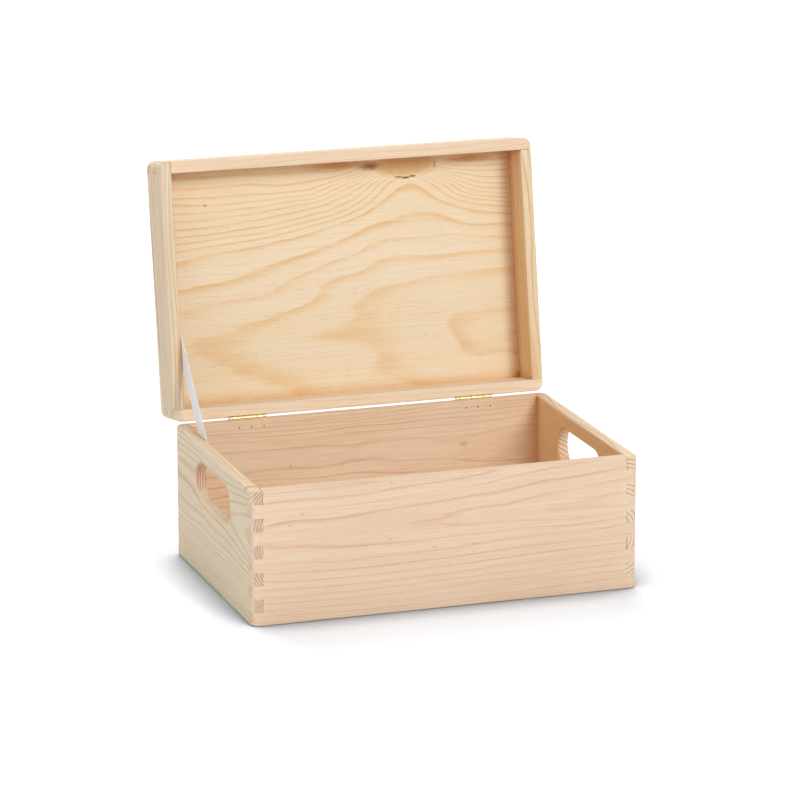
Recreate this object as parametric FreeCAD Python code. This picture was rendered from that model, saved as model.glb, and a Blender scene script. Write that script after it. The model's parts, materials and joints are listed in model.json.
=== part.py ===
import FreeCAD, Part
import math
import os

os.makedirs("parts", exist_ok=True)

Vector = FreeCAD.Vector

# Walls, with the lid closed
length = 300.0
depth = 198.0
box_height = 102.0
rim_gap = 0.3
lid_height = 37.7
board_thickness = 9.0
corner_radius = 6.0
edge_radius = 1.2
rim_inner_radius = 0.8
lid_open_angle = 99.7

# Finger joints, counted from the rim
box_finger_count = 10
lid_finger_count = 4

# Panels in their grooves
bottom_thickness = 6.0
bottom_rabbet = 4.0
lid_inner_depth = 28.4
lid_tongue_setback = 2.8
lid_tongue_thickness = 4.0
lid_tongue_reach = 4.0
groove_play = 0.3

# Hand holes
handle_length = 90.0
handle_height = 30.0
handle_drop = 27.4
handle_edge_radius = 2.0

# Hinges
hinge_inset = 58.0
hinge_length = 30.0
hinge_axis_offset = 0.9
knuckle_count = 7
knuckle_gap = 0.3
barrel_radius = 1.5
barrel_clearance = 0.3
pin_radius = 0.75
pin_running_clearance = 0.05
leaf_width = 10.0
leaf_thickness = 0.8

# Nails of the hinges
nail_count = 3
nail_pitch = 10.0
nail_setback = 5.0
nail_radius = 0.6
nail_hole_clearance = 0.1
nail_head_radius = 1.4
nail_head_height = 0.6
nail_head_rounding = 0.3

# Strap that stops the lid, and its tacks
strap_width = 15.0
strap_thickness = 0.6
strap_tail = 6.0
strap_box_reach = 53.0
strap_box_drop = 8.0
strap_lid_reach = 67.0
strap_lid_rise = 10.0
tack_radius = 0.7
tack_depth = 6.0
tack_head_radius = 2.8
tack_head_height = 1.1

# Room for rounding errors when edges are picked by place
pick_tolerance = 0.01

half_length = length / 2
half_depth = depth / 2
inner_half_length = half_length - board_thickness
inner_half_depth = half_depth - board_thickness
lid_rim = box_height + rim_gap
lid_top = lid_rim + lid_height
hinge_y = half_depth + hinge_axis_offset
hinge_z = box_height + rim_gap / 2
leaf_inner_y = hinge_y - barrel_radius
leaf_outer_y = leaf_inner_y + leaf_thickness
sides = (-1, 1)


def block(xs, ys, zs):
    """Box between pairs of limits, in any order."""
    low = Vector(min(xs), min(ys), min(zs))
    size = Vector(max(xs), max(ys), max(zs)) - low
    return Part.makeBox(size.x, size.y, size.z, low)


def rod(radius, start, end):
    """Round bar between two points."""
    line = end - start
    return Part.makeCylinder(radius, line.Length, start, line)


def joined(shapes):
    """One solid from touching ones, without seams."""
    return shapes[0].multiFuse(shapes[1:]).removeSplitter().Solids[0]


def rounded(shape, radius, wanted):
    """Shape with the edges rounded whose bounds pass the test."""
    return shape.makeFillet(radius, [e for e in shape.Edges if wanted(e.BoundBox)])


def opened(shape):
    """Lid piece turned from closed to open about the pins."""
    turned = shape.copy()
    turned.rotate(Vector(0, hinge_y, hinge_z), Vector(1, 0, 0), -lid_open_angle)
    return turned


def save(node, shapes):
    """Write one node, a single solid or a group of them."""
    shape = shapes[0] if len(shapes) == 1 else Part.makeCompound(shapes)
    shape.exportStep("parts/" + node + ".step")


def wall_ring(rim, far):
    """All four walls in one, rounded outside and along the rim."""
    across = (-half_length, half_length)
    along = (-half_depth, half_depth)
    outer = block(across, along, (rim, far))
    outer = rounded(outer, corner_radius, lambda b: b.ZLength > pick_tolerance)
    outer = rounded(outer, edge_radius, lambda b: b.ZLength < pick_tolerance)
    hollow_across = (-inner_half_length, inner_half_length)
    hollow_along = (-inner_half_depth, inner_half_depth)
    return outer.cut(block(hollow_across, hollow_along, (rim, far)))


def finger_rows(rim, far, count):
    """Heights of the finger rows, starting at the rim."""
    step = (far - rim) / count
    return [(rim + i * step, rim + (i + 1) * step) for i in range(count)]


def end_board(ring, side, rows, end_first):
    """End board, whose own fingers reach the outer faces of the long boards."""
    slabs = []
    for index, row in enumerate(rows):
        reach = []
        for face in sides:
            owned = (index % 2 == 0) == end_first[side, face]
            reach.append(face * (half_depth if owned else inner_half_depth))
        slabs.append(block((side * inner_half_length, side * half_length), reach, row))
    return ring.common(joined(slabs)).Solids[0]


def long_board(ring, face, rows, end_first):
    """Front or back board, which fills the rows the end boards leave."""
    slabs = []
    for index, row in enumerate(rows):
        reach = []
        for side in sides:
            end_owned = (index % 2 == 0) == end_first[side, face]
            reach.append(side * (inner_half_length if end_owned else half_length))
        slabs.append(block(reach, (face * inner_half_depth, face * half_depth), row))
    return ring.common(joined(slabs)).Solids[0]


def eased(board, rim):
    """Board with its inner rim edge taken off."""
    def on_inner_rim(bounds):
        flat = abs(bounds.ZMin - rim) < pick_tolerance and bounds.ZLength < pick_tolerance
        inside_x = max(abs(bounds.XMin), abs(bounds.XMax)) < inner_half_length + pick_tolerance
        inside_y = max(abs(bounds.YMin), abs(bounds.YMax)) < inner_half_depth + pick_tolerance
        return flat and inside_x and inside_y
    return rounded(board, rim_inner_radius, on_inner_rim)


def plate(reach, zs):
    """Flat panel that reaches past the inner faces of the walls."""
    across = inner_half_length + reach
    along = inner_half_depth + reach
    return block((-across, across), (-along, along), zs)


def handle_slot(side):
    """Long hole with round ends through an end board."""
    radius = handle_height / 2
    run = handle_length / 2 - radius
    level = box_height - handle_drop
    inside = side * inner_half_length
    outside = side * half_length
    ends = [rod(radius, Vector(inside, s * run, level), Vector(outside, s * run, level))
            for s in sides]
    middle = block((inside, outside), (-run, run), (level - radius, level + radius))
    return joined([middle] + ends)


def with_handle(board, side):
    """End board with its hand hole, both mouths rounded."""
    slot = handle_slot(side)
    room = slot.BoundBox
    room.enlarge(pick_tolerance)

    def on_mouth(bounds):
        return bounds.XLength < pick_tolerance and room.isInside(bounds)
    return rounded(board.cut(slot), handle_edge_radius, on_mouth)


def knuckle_spans(first):
    """Every other knuckle of a hinge as limits along the pin; the end ones are half as long."""
    pitch = hinge_length / (knuckle_count - 1)
    cuts = [(k - knuckle_count / 2) * pitch for k in range(1, knuckle_count)]
    limits = [-hinge_length / 2] + cuts + [hinge_length / 2]
    spans = list(zip(limits, limits[1:]))
    return [(low + knuckle_gap / 2, high - knuckle_gap / 2) for low, high in spans[first::2]]


def nail_places(centre, up):
    """Nail axes of one leaf, as x and z."""
    first = -(nail_count - 1) / 2
    return [(centre + (first + i) * nail_pitch, hinge_z + up * nail_setback)
            for i in range(nail_count)]


def hinge_leaf(centre, up, first, bore_radius):
    """Flat leaf with its knuckles; up is 1 for the lid and -1 for the box."""
    across = (centre - hinge_length / 2, centre + hinge_length / 2)
    through = (leaf_inner_y, leaf_outer_y)
    near = hinge_z + up * (barrel_radius + barrel_clearance)
    shapes = [block(across, through, (near, hinge_z + up * leaf_width))]
    for low, high in knuckle_spans(first):
        start = Vector(centre + low, hinge_y, hinge_z)
        end = Vector(centre + high, hinge_y, hinge_z)
        shapes.append(block((start.x, end.x), through, (hinge_z, near)))
        shapes.append(rod(barrel_radius, start, end))
    leaf = joined(shapes)
    leaf = leaf.cut(rod(bore_radius, Vector(across[0], hinge_y, hinge_z),
                        Vector(across[1], hinge_y, hinge_z)))
    for x, z in nail_places(centre, up):
        hole = rod(nail_radius + nail_hole_clearance, Vector(x, leaf_inner_y, z),
                   Vector(x, leaf_outer_y, z))
        leaf = leaf.cut(hole)
    return leaf.Solids[0]


def hinge_seat(centre, up):
    """Recess for one leaf, and the relief around the barrel."""
    across = (centre - hinge_length / 2, centre + hinge_length / 2)
    recess = block(across, (leaf_inner_y, leaf_outer_y), (hinge_z, hinge_z + up * leaf_width))
    relief = rod(barrel_radius + barrel_clearance, Vector(across[0], hinge_y, hinge_z),
                 Vector(across[1], hinge_y, hinge_z))
    holes = [rod(nail_radius, Vector(x, inner_half_depth, z), Vector(x, leaf_outer_y, z))
             for x, z in nail_places(centre, up)]
    return [recess, relief] + holes


def nails(centre, up):
    """Nails of one leaf, driven from the back until they are flush inside."""
    shapes = []
    for x, z in nail_places(centre, up):
        head_end = Vector(x, leaf_outer_y + nail_head_height, z)
        head = rod(nail_head_radius, Vector(x, leaf_outer_y, z), head_end)
        head = rounded(head, nail_head_rounding,
                       lambda b: abs(b.YMin - head_end.y) < pick_tolerance)
        shank = rod(nail_radius, Vector(x, inner_half_depth, z), Vector(x, leaf_outer_y, z))
        shapes.append(joined([head, shank]))
    return shapes


def tack(place):
    """Round-headed tack driven into the wall on the left, through the strap."""
    seat = place + Vector(strap_thickness, 0, 0)
    ball_radius = (tack_head_radius**2 + tack_head_height**2) / (2 * tack_head_height)
    ball = Part.makeSphere(ball_radius, seat + Vector(tack_head_height - ball_radius, 0, 0))
    cap_room = rod(ball_radius, seat, seat + Vector(tack_head_height, 0, 0))
    shank = rod(tack_radius, place - Vector(tack_depth, 0, 0), seat)
    return joined([ball.common(cap_room), shank])


def tack_hole(place):
    """Hole of a tack in the wood and in the strap."""
    return rod(tack_radius, place - Vector(tack_depth, 0, 0), place + Vector(strap_thickness, 0, 0))


def strap_between(lower, upper):
    """Taut flat strap from tack to tack, with a tail past each."""
    line = upper - lower
    run = line.Length + 2 * strap_tail
    ribbon = Part.makeBox(strap_thickness, run, strap_width, Vector(0, -strap_tail, -strap_width / 2))
    ribbon.rotate(Vector(0, 0, 0), Vector(1, 0, 0), math.degrees(math.atan2(line.z, line.y)))
    ribbon.translate(lower)
    return ribbon.cut(tack_hole(lower)).cut(tack_hole(upper))


# Places that several pieces share
names = {-1: "left", 1: "right"}
hinge_centres = {side: side * (half_length - hinge_inset) for side in sides}
strap_lower = Vector(-inner_half_length, hinge_y - strap_box_reach, box_height - strap_box_drop)
strap_upper_closed = Vector(-inner_half_length, hinge_y - strap_lid_reach, lid_rim + strap_lid_rise)
strap_upper = opened(Part.Vertex(strap_upper_closed)).Point

# Box
box_rows = finger_rows(box_height, 0, box_finger_count)
box_end_first = {(side, face): True for side in sides for face in sides}
box_ring = wall_ring(box_height, 0)
bottom_zs = (0, bottom_thickness)
bottom_groove = plate(bottom_rabbet + groove_play, bottom_zs)

front = eased(long_board(box_ring, -1, box_rows, box_end_first), box_height).cut(bottom_groove)
save("front_board", [front])

back = eased(long_board(box_ring, 1, box_rows, box_end_first), box_height).cut(bottom_groove)
for centre in hinge_centres.values():
    back = back.cut(hinge_seat(centre, -1))
save("back_board", [back])

for side in sides:
    board = eased(end_board(box_ring, side, box_rows, box_end_first), box_height).cut(bottom_groove)
    board = with_handle(board, side)
    if side < 0:
        board = board.cut(tack_hole(strap_lower))
    save(names[side] + "_end_board", [board])

save("bottom_panel", [plate(bottom_rabbet, bottom_zs)])

# Lid, made closed and then opened
lid_rows = finger_rows(lid_rim, lid_top, lid_finger_count)
lid_end_first = {(side, face): side < 0 and face < 0 for side in sides for face in sides}
lid_ring = wall_ring(lid_rim, lid_top)
panel_z = lid_rim + lid_inner_depth
tongue_zs = (panel_z + lid_tongue_setback, panel_z + lid_tongue_setback + lid_tongue_thickness)
lid_groove = plate(lid_tongue_reach + groove_play, tongue_zs)

lid_front = eased(long_board(lid_ring, -1, lid_rows, lid_end_first), lid_rim).cut(lid_groove)
save("lid_front_rail", [opened(lid_front)])

lid_back = eased(long_board(lid_ring, 1, lid_rows, lid_end_first), lid_rim).cut(lid_groove)
for centre in hinge_centres.values():
    lid_back = lid_back.cut(hinge_seat(centre, 1))
save("lid_back_rail", [opened(lid_back)])

for side in sides:
    rail = eased(end_board(lid_ring, side, lid_rows, lid_end_first), lid_rim).cut(lid_groove)
    if side < 0:
        rail = rail.cut(tack_hole(strap_upper_closed))
    save("lid_" + names[side] + "_rail", [opened(rail)])

lid_panel = joined([plate(0, (panel_z, lid_top)), plate(lid_tongue_reach, tongue_zs)])
save("lid_panel", [opened(lid_panel)])

# Hinges
for side, centre in hinge_centres.items():
    hinge = names[side] + "_hinge_"
    save(hinge + "box_leaf", [hinge_leaf(centre, -1, 0, pin_radius)])
    lid_leaf = hinge_leaf(centre, 1, 1, pin_radius + pin_running_clearance)
    save(hinge + "lid_leaf", [opened(lid_leaf)])
    pin_start = Vector(centre - hinge_length / 2, hinge_y, hinge_z)
    save(hinge + "pin", [rod(pin_radius, pin_start, pin_start + Vector(hinge_length, 0, 0))])
    save(hinge + "box_nails", nails(centre, -1))
    save(hinge + "lid_nails", [opened(nail) for nail in nails(centre, 1)])

# Strap
save("lid_strap", [strap_between(strap_lower, strap_upper)])
save("strap_lower_tack", [tack(strap_lower)])
save("strap_upper_tack", [tack(strap_upper)])
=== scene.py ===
import json
import logging
import math
from dataclasses import dataclass
from enum import Enum

import bmesh
import bpy
import numpy as np
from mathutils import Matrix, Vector


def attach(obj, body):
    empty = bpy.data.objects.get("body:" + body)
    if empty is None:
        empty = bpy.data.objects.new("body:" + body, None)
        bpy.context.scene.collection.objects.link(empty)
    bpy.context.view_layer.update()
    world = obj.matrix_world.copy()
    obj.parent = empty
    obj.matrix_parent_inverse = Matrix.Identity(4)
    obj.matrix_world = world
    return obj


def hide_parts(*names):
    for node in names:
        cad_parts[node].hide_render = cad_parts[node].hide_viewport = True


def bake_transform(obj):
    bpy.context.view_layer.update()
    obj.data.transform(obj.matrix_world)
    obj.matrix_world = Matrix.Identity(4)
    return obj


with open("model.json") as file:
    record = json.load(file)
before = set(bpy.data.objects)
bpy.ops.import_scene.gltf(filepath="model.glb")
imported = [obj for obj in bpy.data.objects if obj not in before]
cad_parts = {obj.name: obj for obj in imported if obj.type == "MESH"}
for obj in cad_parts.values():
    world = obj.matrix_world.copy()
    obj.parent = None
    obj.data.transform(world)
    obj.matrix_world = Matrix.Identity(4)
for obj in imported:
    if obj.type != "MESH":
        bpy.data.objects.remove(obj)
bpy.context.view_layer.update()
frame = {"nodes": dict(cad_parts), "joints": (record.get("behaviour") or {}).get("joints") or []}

MM = 0.001
HINGE = next(joint for joint in frame["joints"] if joint["name"] == "lid_hinge")
PIN_PLACE = (HINGE["pos_m"][1] / MM, HINGE["pos_m"][2] / MM)
OPEN_ANGLE = HINGE["range_deg"][1]
LOG = logging.getLogger("pine_box")

Colour = tuple[float, float, float, float]
Point = tuple[float, float, float]
Spot = tuple[float, float]
Node = bpy.types.Node
Outputs = bpy.types.NodeOutputs
Socket = bpy.types.NodeSocket

WHITE = (1.0, 1.0, 1.0, 1.0)
ORIGIN = (0.0, 0.0, 0.0)
RIGHT = (1.0, 0.0, 0.0)
BACK, FRONT = (0.0, 1.0, 0.0), (0.0, -1.0, 0.0)
UP, DOWN = (0.0, 0.0, 1.0), (0.0, 0.0, -1.0)


class Body(Enum):
    """The two bodies that pieces ride on."""

    BOX = "box"
    LID = "lid"


class Slot(Enum):
    """Material slots of the record, listed with the pieces; nothing reads them."""

    BOARD = "pine_board"
    PANEL = "pine_panel"
    TAPE = "strap_tape"


def paint(code: str) -> Colour:
    """Turn a six-digit screen colour into the linear colour that Blender wants.

    Args:
        code: Red, green and blue as hex digits, such as "E8CFB2".

    Returns:
        Linear red, green, blue and an alpha of one.
    """
    parts = [int(code[i:i + 2], 16) / 255 for i in (0, 2, 4)]
    linear = [c / 12.92 if c <= 0.04045 else ((c + 0.055) / 1.055) ** 2.4 for c in parts]
    return (linear[0], linear[1], linear[2], 1.0)


def swung(points: np.ndarray, angle: float, pivot: Spot = (0.0, 0.0)) -> np.ndarray:
    """Turn points or directions about an axis that runs left to right, like the hinge's.

    Args:
        points: Points as rows.
        angle: Angle in degrees.
        pivot: Depth and height of the axis.

    Returns:
        The turned points.
    """
    turn = math.radians(angle)
    across, up = points[:, 1] - pivot[0], points[:, 2] - pivot[1]
    return np.column_stack([points[:, 0],
                            pivot[0] + across * math.cos(turn) - up * math.sin(turn),
                            pivot[1] + across * math.sin(turn) + up * math.cos(turn)])


def put(name: str, data: bpy.types.ID) -> bpy.types.Object:
    """Put a mesh, lamp or camera into the scene.

    Args:
        name: Name of the object.
        data: What it shows.

    Returns:
        The new object.
    """
    made = bpy.data.objects.new(name, data)
    bpy.context.scene.collection.objects.link(made)
    return made


def aim(item: bpy.types.Object, place: Point, target: Point) -> None:
    """Stand a lamp or camera at a place and turn it to a target."""
    item.location = place
    item.rotation_euler = (Vector(target) - Vector(place)).to_track_quat("-Z", "Y").to_euler()


class NodeSketch:
    """Short-hand for laying out nodes in one material or node group."""

    def __init__(self, tree: bpy.types.NodeTree) -> None:
        """Work on the given tree."""
        self.tree = tree

    def node(self, kind: str, *values: object, **settings: object) -> Node:
        """Add a node.

        Args:
            kind: Node type without its "ShaderNode" prefix.
            values: Sockets or plain values for its inputs, in order.
            settings: Properties of the node by name.

        Returns:
            The new node.
        """
        made = self.tree.nodes.new("ShaderNode" + kind)
        for name, value in settings.items():
            setattr(made, name, value)
        for socket, value in zip(made.inputs, values):
            self.feed(socket, value)
        return made

    def feed(self, socket: Socket, value: object) -> None:
        """Link another socket into this one, or set its plain value.

        Args:
            socket: Input to feed.
            value: Socket or plain value.
        """
        if isinstance(value, Socket):
            self.tree.links.new(value, socket)
        else:
            socket.default_value = value

    def fill(self, node: Node, **values: object) -> Node:
        """Feed inputs of a node by name.

        Args:
            node: The node.
            values: Sockets or plain values by input name, with underscores for spaces.

        Returns:
            The same node.
        """
        for name, value in values.items():
            self.feed(node.inputs[name.replace("_", " ")], value)
        return node

    def effect(self, name: str, **values: object) -> Outputs:
        """Outputs of a shared effect, whose inputs are given by name."""
        return self.fill(self.node("Group", node_tree=bpy.data.node_groups[name]), **values).outputs

    def carried(self, name: str, output: str = "Fac") -> Socket:
        """Value that the mesh carries under a name."""
        return self.node("Attribute", attribute_name=name).outputs[output]

    def math(self, operation: str, *values: object) -> Socket:
        """Result of a Math node for sockets or numbers, in order."""
        return self.node("Math", *values, operation=operation).outputs[0]

    def times(self, first: object, second: object) -> Socket:
        """Product of two sockets or numbers."""
        return self.math("MULTIPLY", first, second)

    def plus(self, first: object, second: object) -> Socket:
        """Sum of two sockets or numbers."""
        return self.math("ADD", first, second)

    def minus(self, first: object, second: object) -> Socket:
        """Difference of two sockets or numbers."""
        return self.math("SUBTRACT", first, second)

    def vector(self, operation: str, *values: object) -> Outputs:
        """Outputs of a Vector Math node for sockets or vectors, in order."""
        return self.node("VectorMath", *values, operation=operation).outputs

    def parts(self, vector: object) -> Outputs:
        """The three parts of a vector."""
        return self.node("SeparateXYZ", vector).outputs

    def band(self, value: object, low: object, high: object, start: float = 0.0,
             end: float = 1.0) -> Socket:
        """Ease a value from one range into another.

        Args:
            value: Socket or number to map.
            low: Value that gives start.
            high: Value that gives end.
            start: Result at and before low.
            end: Result at and after high.

        Returns:
            The mapped value's socket.
        """
        made = self.node("MapRange", value, low, high, start, end, interpolation_type="SMOOTHSTEP")
        return made.outputs[0]

    def noise(self, vector: object, factors: Point, detail: float = 2.0, rough: float = 0.5) -> Socket:
        """Noise that is drawn out along the axes.

        Args:
            vector: Place, in millimetres along the board's axes.
            factors: Waves per millimetre along each axis.
            detail: Number of finer layers.
            rough: Strength of the finer layers.

        Returns:
            A value around one half.
        """
        drawn_out = self.vector("MULTIPLY", vector, factors)[0]
        made = self.fill(self.node("TexNoise"), Vector=drawn_out, Scale=1.0, Detail=detail,
                         Roughness=rough)
        return made.outputs["Fac"]

    def mix(self, factor: object, first: object, second: object, blend: str = "MIX") -> Socket:
        """Mix two colours.

        Args:
            factor: Share of the second colour.
            first: Colour or socket.
            second: Colour or socket.
            blend: How they are mixed.

        Returns:
            The mixed colour's socket.
        """
        made = self.node("Mix", data_type="RGBA", blend_type=blend)
        for index, value in ((0, factor), (6, first), (7, second)):
            self.feed(made.inputs[index], value)
        return made.outputs[2]

    def lay(self, under: object, code: str, mask: object, share: object, blend: str = "MIX") -> Socket:
        """Lay a colour over another where a mask says.

        Args:
            under: Colour or socket below.
            code: Screen colour to lay on it.
            mask: Where it goes, from zero to one.
            share: How much of it shows there.
            blend: How the two are mixed.

        Returns:
            The mixed colour's socket.
        """
        return self.mix(self.times(mask, share), under, paint(code), blend)

    def bump(self, height: object, strength: float, depth: float) -> Socket:
        """Normal of a surface that has a height.

        Args:
            height: Height, from zero to one.
            strength: How strongly it shows.
            depth: Full height, in millimetres.

        Returns:
            The normal's socket.
        """
        made = self.fill(self.node("Bump"), Strength=strength, Distance=depth * MM, Height=height)
        return made.outputs[0]

    def seen_plainly(self) -> Socket:
        """Tell where the camera, a reflection or glass looks straight at the surface.

        Returns:
            A value that is one there.
        """
        path = self.node("LightPath").outputs
        seen = self.math("MAXIMUM", path["Is Camera Ray"], path["Is Glossy Ray"])
        return self.math("MAXIMUM", seen, path["Is Transmission Ray"])


class Effects:
    """Shared effects, each a node group that is built once."""

    def build(self) -> None:
        """Build every group."""
        for effect in (self.growth_rings, self.fibres, self.knot, self.rubbed_edge_highlights, self.painted_corner_shade,
                       self.scuffs, self.plain_weave):
            effect()

    def start(self, name: str, inputs: dict[str, object],
              outputs: tuple[str, ...]) -> tuple[NodeSketch, Outputs, Node]:
        """Open a new group.

        Args:
            name: Name of the group.
            inputs: First value by input name, a tuple for a vector.
            outputs: Names of the outputs, which are all values.

        Returns:
            A sketch of the group, what its inputs give, and its output node.
        """
        group = bpy.data.node_groups.new(name, "ShaderNodeTree")
        for key, value in inputs.items():
            kind = "NodeSocketVector" if isinstance(value, tuple) else "NodeSocketFloat"
            group.interface.new_socket(key, in_out="INPUT", socket_type=kind).default_value = value
        for key in outputs:
            group.interface.new_socket(key, in_out="OUTPUT", socket_type="NodeSocketFloat")
        given = group.nodes.new("NodeGroupInput").outputs
        return NodeSketch(group), given, group.nodes.new("NodeGroupOutput")

    def growth_rings(self) -> None:
        """Late wood of each ring: eases in slowly and ends sharply on the bark side."""
        sketch, given, sink = self.start(
            "growth_rings", {"Place": ORIGIN, "Ring": 0.0, "Waver": 0.1, "Late Start": 0.45},
            ("Late", "Line"))
        place = given["Place"]
        slow = sketch.minus(sketch.noise(place, (0.018, 0.16, 0.16), 1.0), 0.5)
        fine = sketch.minus(sketch.noise(place, (0.07, 0.9, 0.9), 2.0), 0.5)
        waver = sketch.times(sketch.plus(slow, sketch.times(fine, 0.6)), given["Waver"])
        phase = sketch.math("FRACT", sketch.plus(given["Ring"], waver))
        rise = sketch.math("POWER", sketch.band(phase, given["Late Start"], 0.92), 1.6)
        fall = sketch.band(phase, 0.9, 1.0, 1.0, 0.0)
        strength = sketch.band(sketch.noise(place, (0.013, 0.13, 0.13), 2.0), 0.32, 0.62, 0.5, 1.08)
        sketch.fill(sink, Late=sketch.times(sketch.times(rise, fall), strength),
                    Line=sketch.times(sketch.band(phase, 0.6, 0.9), fall))

    def fibres(self) -> None:
        """Fine streaks, short dark pores and broad clouds, all drawn out along the grain."""
        sketch, given, sink = self.start(
            "fibres", {"Place": ORIGIN}, ("Streak", "Pore", "Cloud", "Height"))
        place = given["Place"]
        streak = sketch.noise(place, (0.012, 0.6, 0.6), 3.0, 0.65)
        hair = sketch.noise(place, (0.045, 1.7, 1.7), 2.0, 0.6)
        both = sketch.plus(sketch.times(streak, 0.6), sketch.times(hair, 0.4))
        pores = sketch.band(sketch.noise(place, (0.11, 2.1, 2.1), 1.0), 0.63, 0.72)
        there = sketch.band(sketch.noise(place, (0.012, 0.07, 0.07), 1.0), 0.42, 0.62)
        cloud = sketch.band(sketch.noise(place, (0.008, 0.035, 0.035), 2.0), 0.3, 0.7)
        sketch.fill(sink, Streak=sketch.band(both, 0.36, 0.66), Pore=sketch.times(pores, there),
                    Cloud=cloud, Height=both)

    def knot(self) -> None:
        """Oval branch knot with its own rings and a dark edge."""
        sketch, given, sink = self.start(
            "knot",
            {"Place": ORIGIN, "Centre": ORIGIN, "Size": (1.0, 1.0, 1.0), "Ring Count": 4.0, "Soft": 0.2},
            ("Core", "Edge", "Rings"))
        shift = sketch.vector("SUBTRACT", given["Place"], given["Centre"])[0]
        scaled = sketch.vector("DIVIDE", shift, given["Size"])[0]
        flat = sketch.vector("MULTIPLY", scaled, (1.0, 1.0, 0.0))[0]
        uneven = sketch.minus(sketch.noise(given["Place"], (0.22, 0.5, 0.5), 2.0), 0.5)
        reach = sketch.plus(sketch.vector("LENGTH", flat)["Value"], sketch.times(uneven, 0.5))
        core = sketch.band(reach, sketch.minus(1.05, given["Soft"]), 1.05, 1.0, 0.0)
        edge = sketch.times(sketch.band(reach, 0.72, 0.95), sketch.band(reach, 0.98, 1.2, 1.0, 0.0))
        turns = sketch.math("FRACT", sketch.times(reach, given["Ring Count"]))
        sketch.fill(sink, Core=core, Edge=edge, Rings=sketch.band(turns, 0.35, 0.9))

    def rubbed_edge_highlights(self) -> None:
        """Edges that hands have rubbed, made lighter: partly wear, partly a painted highlight."""
        sketch, given, sink = self.start("rubbed_edge_highlights", {"Place": ORIGIN, "Reach": 0.05}, ("Rubbed",))
        sharp = sketch.node("NewGeometry").outputs["Pointiness"]
        edges = sketch.node("MapRange", sharp, 0.5, sketch.plus(given["Reach"], 0.5), 0.0, 1.0).outputs[0]
        patchy = sketch.band(sketch.noise(given["Place"], (0.3, 0.3, 0.3), 2.0), 0.3, 0.6)
        sketch.fill(sink, Rubbed=sketch.times(edges, patchy))

    def painted_corner_shade(self) -> None:
        """Painted shade in inner corners where boards stand close together, but not along the floor."""
        sketch, given, sink = self.start("painted_corner_shade", {"Reach": 0.012}, ("Shade",))
        reach = given["Reach"]
        nearby = sketch.fill(sketch.node("AmbientOcclusion", samples=4), Distance=reach).outputs["AO"]
        height = sketch.parts(sketch.node("TexCoord").outputs["Object"])[2]
        lifted = sketch.band(height, reach, sketch.times(reach, 1.6))
        sketch.fill(sink, Shade=sketch.times(sketch.band(nearby, 0.45, 0.97, 1.0, 0.0), lifted))

    def scuffs(self) -> None:
        """Fine drawn lines and dull clouds on metal."""
        sketch, given, sink = self.start("scuffs", {"Place": ORIGIN}, ("Lines", "Dull"))
        lines = sketch.noise(given["Place"], (0.4, 7.0, 7.0), 3.0, 0.6)
        dull = sketch.noise(given["Place"], (0.16, 0.16, 0.16), 3.0)
        sketch.fill(sink, Lines=sketch.band(lines, 0.35, 0.7), Dull=sketch.band(dull, 0.35, 0.75))

    def plain_weave(self) -> None:
        """Over and under of warp and weft threads."""
        sketch, given, sink = self.start(
            "plain_weave", {"Place": ORIGIN, "Warp Pitch": 0.5, "Weft Pitch": 0.5}, ("Warp", "Height"))
        along, across, _ = sketch.parts(given["Place"])
        weft = sketch.math("DIVIDE", along, given["Weft Pitch"])
        warp = sketch.math("DIVIDE", across, given["Warp Pitch"])
        waves = [sketch.math("SINE", sketch.times(turns, math.pi)) for turns in (weft, warp)]
        cross = sketch.times(*waves)
        sketch.fill(sink, Warp=sketch.band(cross, -0.3, 0.3), Height=sketch.math("ABSOLUTE", cross))


class Finish:
    """Look of a piece, which can be made into a material."""

    def material(self, name: str) -> bpy.types.Material:
        """Make the material.

        Args:
            name: Name of the material.

        Returns:
            The new material.
        """
        made = bpy.data.materials.new(name)
        made.use_nodes = True
        self.dress(NodeSketch(made.node_tree), made.node_tree.nodes["Principled BSDF"])
        return made

    def dress(self, sketch: NodeSketch, shader: Node) -> None:
        """Feed the shader, which each finish does in its own way."""
        raise NotImplementedError


@dataclass(frozen=True)
class Knot:
    """Knot on a board: its middle and half size, along and across the grain, in millimetres."""

    middle: Spot
    half_size: Spot
    core: str = "D6A679"
    edge: str = "9A6A45"
    rings: float = 4.0
    ring_share: float = 0.35
    core_share: float = 0.85
    edge_share: float = 0.5
    soft: float = 0.2
    blend: str = "MIX"

    def lay_on(self, sketch: NodeSketch, place: Socket, colour: Socket) -> Socket:
        """Lay the knot over a board's colour.

        Args:
            sketch: Sketch of the material.
            place: Place on the board.
            colour: Colour so far.

        Returns:
            The colour with the knot.
        """
        mark = sketch.effect("knot", Place=place, Centre=(*self.middle, 0.0), Size=(*self.half_size, 1.0),
                             Ring_Count=self.rings, Soft=self.soft)
        core = sketch.lay(paint(self.core), self.edge, mark["Rings"], self.ring_share)
        colour = sketch.mix(sketch.times(mark["Core"], self.core_share), colour, core, self.blend)
        return sketch.lay(colour, self.edge, mark["Edge"], self.edge_share)


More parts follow.
